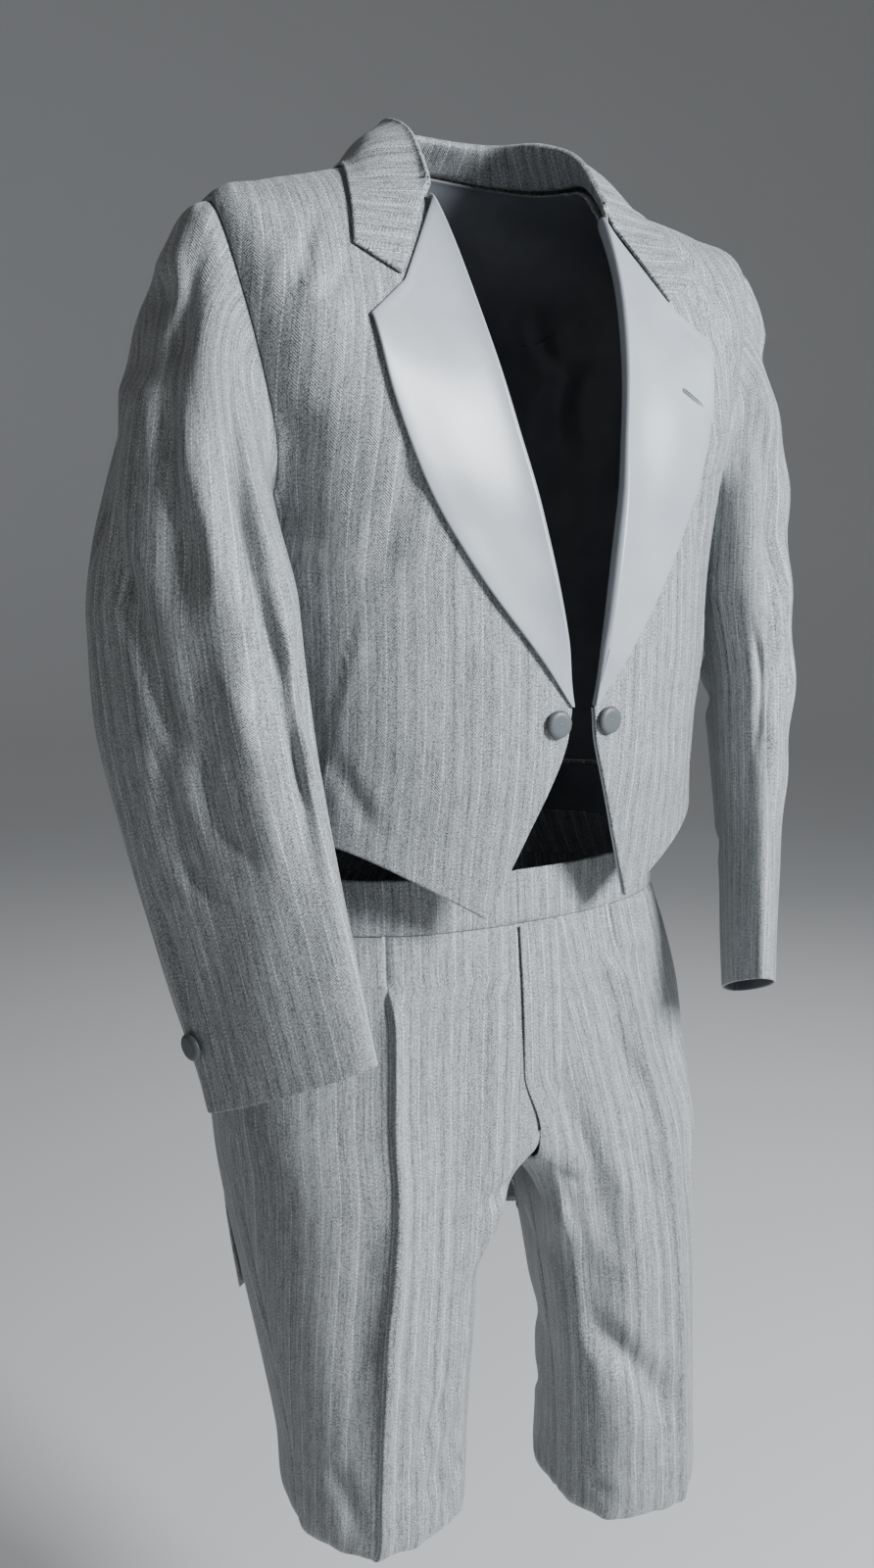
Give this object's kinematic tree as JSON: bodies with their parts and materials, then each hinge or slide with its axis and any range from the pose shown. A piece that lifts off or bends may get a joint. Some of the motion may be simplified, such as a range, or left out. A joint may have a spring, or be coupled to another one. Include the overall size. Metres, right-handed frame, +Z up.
{
  "type": "tailcoat suit",
  "caption": "Worn, hollow tailcoat suit in grey herringbone stripe: satin notch lapels, pointed cutaway fronts, long tails and pleated trousers that end at the knee.",
  "frame": {"origin": "middle of the base of the neck, level with the coat's neck seam at the side of the neck", "axes": "+Z is up, -Y is the wearer's front, +X is the wearer's left"},
  "size_m": [0.5722, 0.3084, 1.0602],
  "materials": {
    "coat_cloth": "silver-grey herringbone stripe, slight sheen",
    "trouser_cloth": "silver-grey herringbone stripe, slight sheen",
    "satin": "light grey satin",
    "lining": "charcoal lining",
    "button_satin": "dark grey satin over a button"
  },
  "bodies": {
    "root": {"coat_front_L": "coat_cloth", "coat_front_R": "coat_cloth", "coat_back_L": "coat_cloth", "coat_back_R": "coat_cloth", "coat_tail_L": "coat_cloth", "coat_tail_R": "coat_cloth", "tail_lining_L": "lining", "tail_lining_R": "lining", "sleeve_top_L": "coat_cloth", "sleeve_top_R": "coat_cloth", "sleeve_under_L": "coat_cloth", "sleeve_under_R": "coat_cloth", "lapel_L": "satin", "lapel_R": "satin", "button_front_L": "button_satin", "button_front_R": "button_satin", "button_cuff_L": "button_satin", "button_cuff_R": "button_satin", "trouser_front_L": "trouser_cloth", "trouser_front_R": "trouser_cloth", "trouser_back_L": "trouser_cloth", "trouser_back_R": "trouser_cloth", "waistband_L": "trouser_cloth", "waistband_R": "trouser_cloth", "collar": "coat_cloth", "breast_welt": "coat_cloth", "fly": "trouser_cloth"}
  },
  "joints": []
}
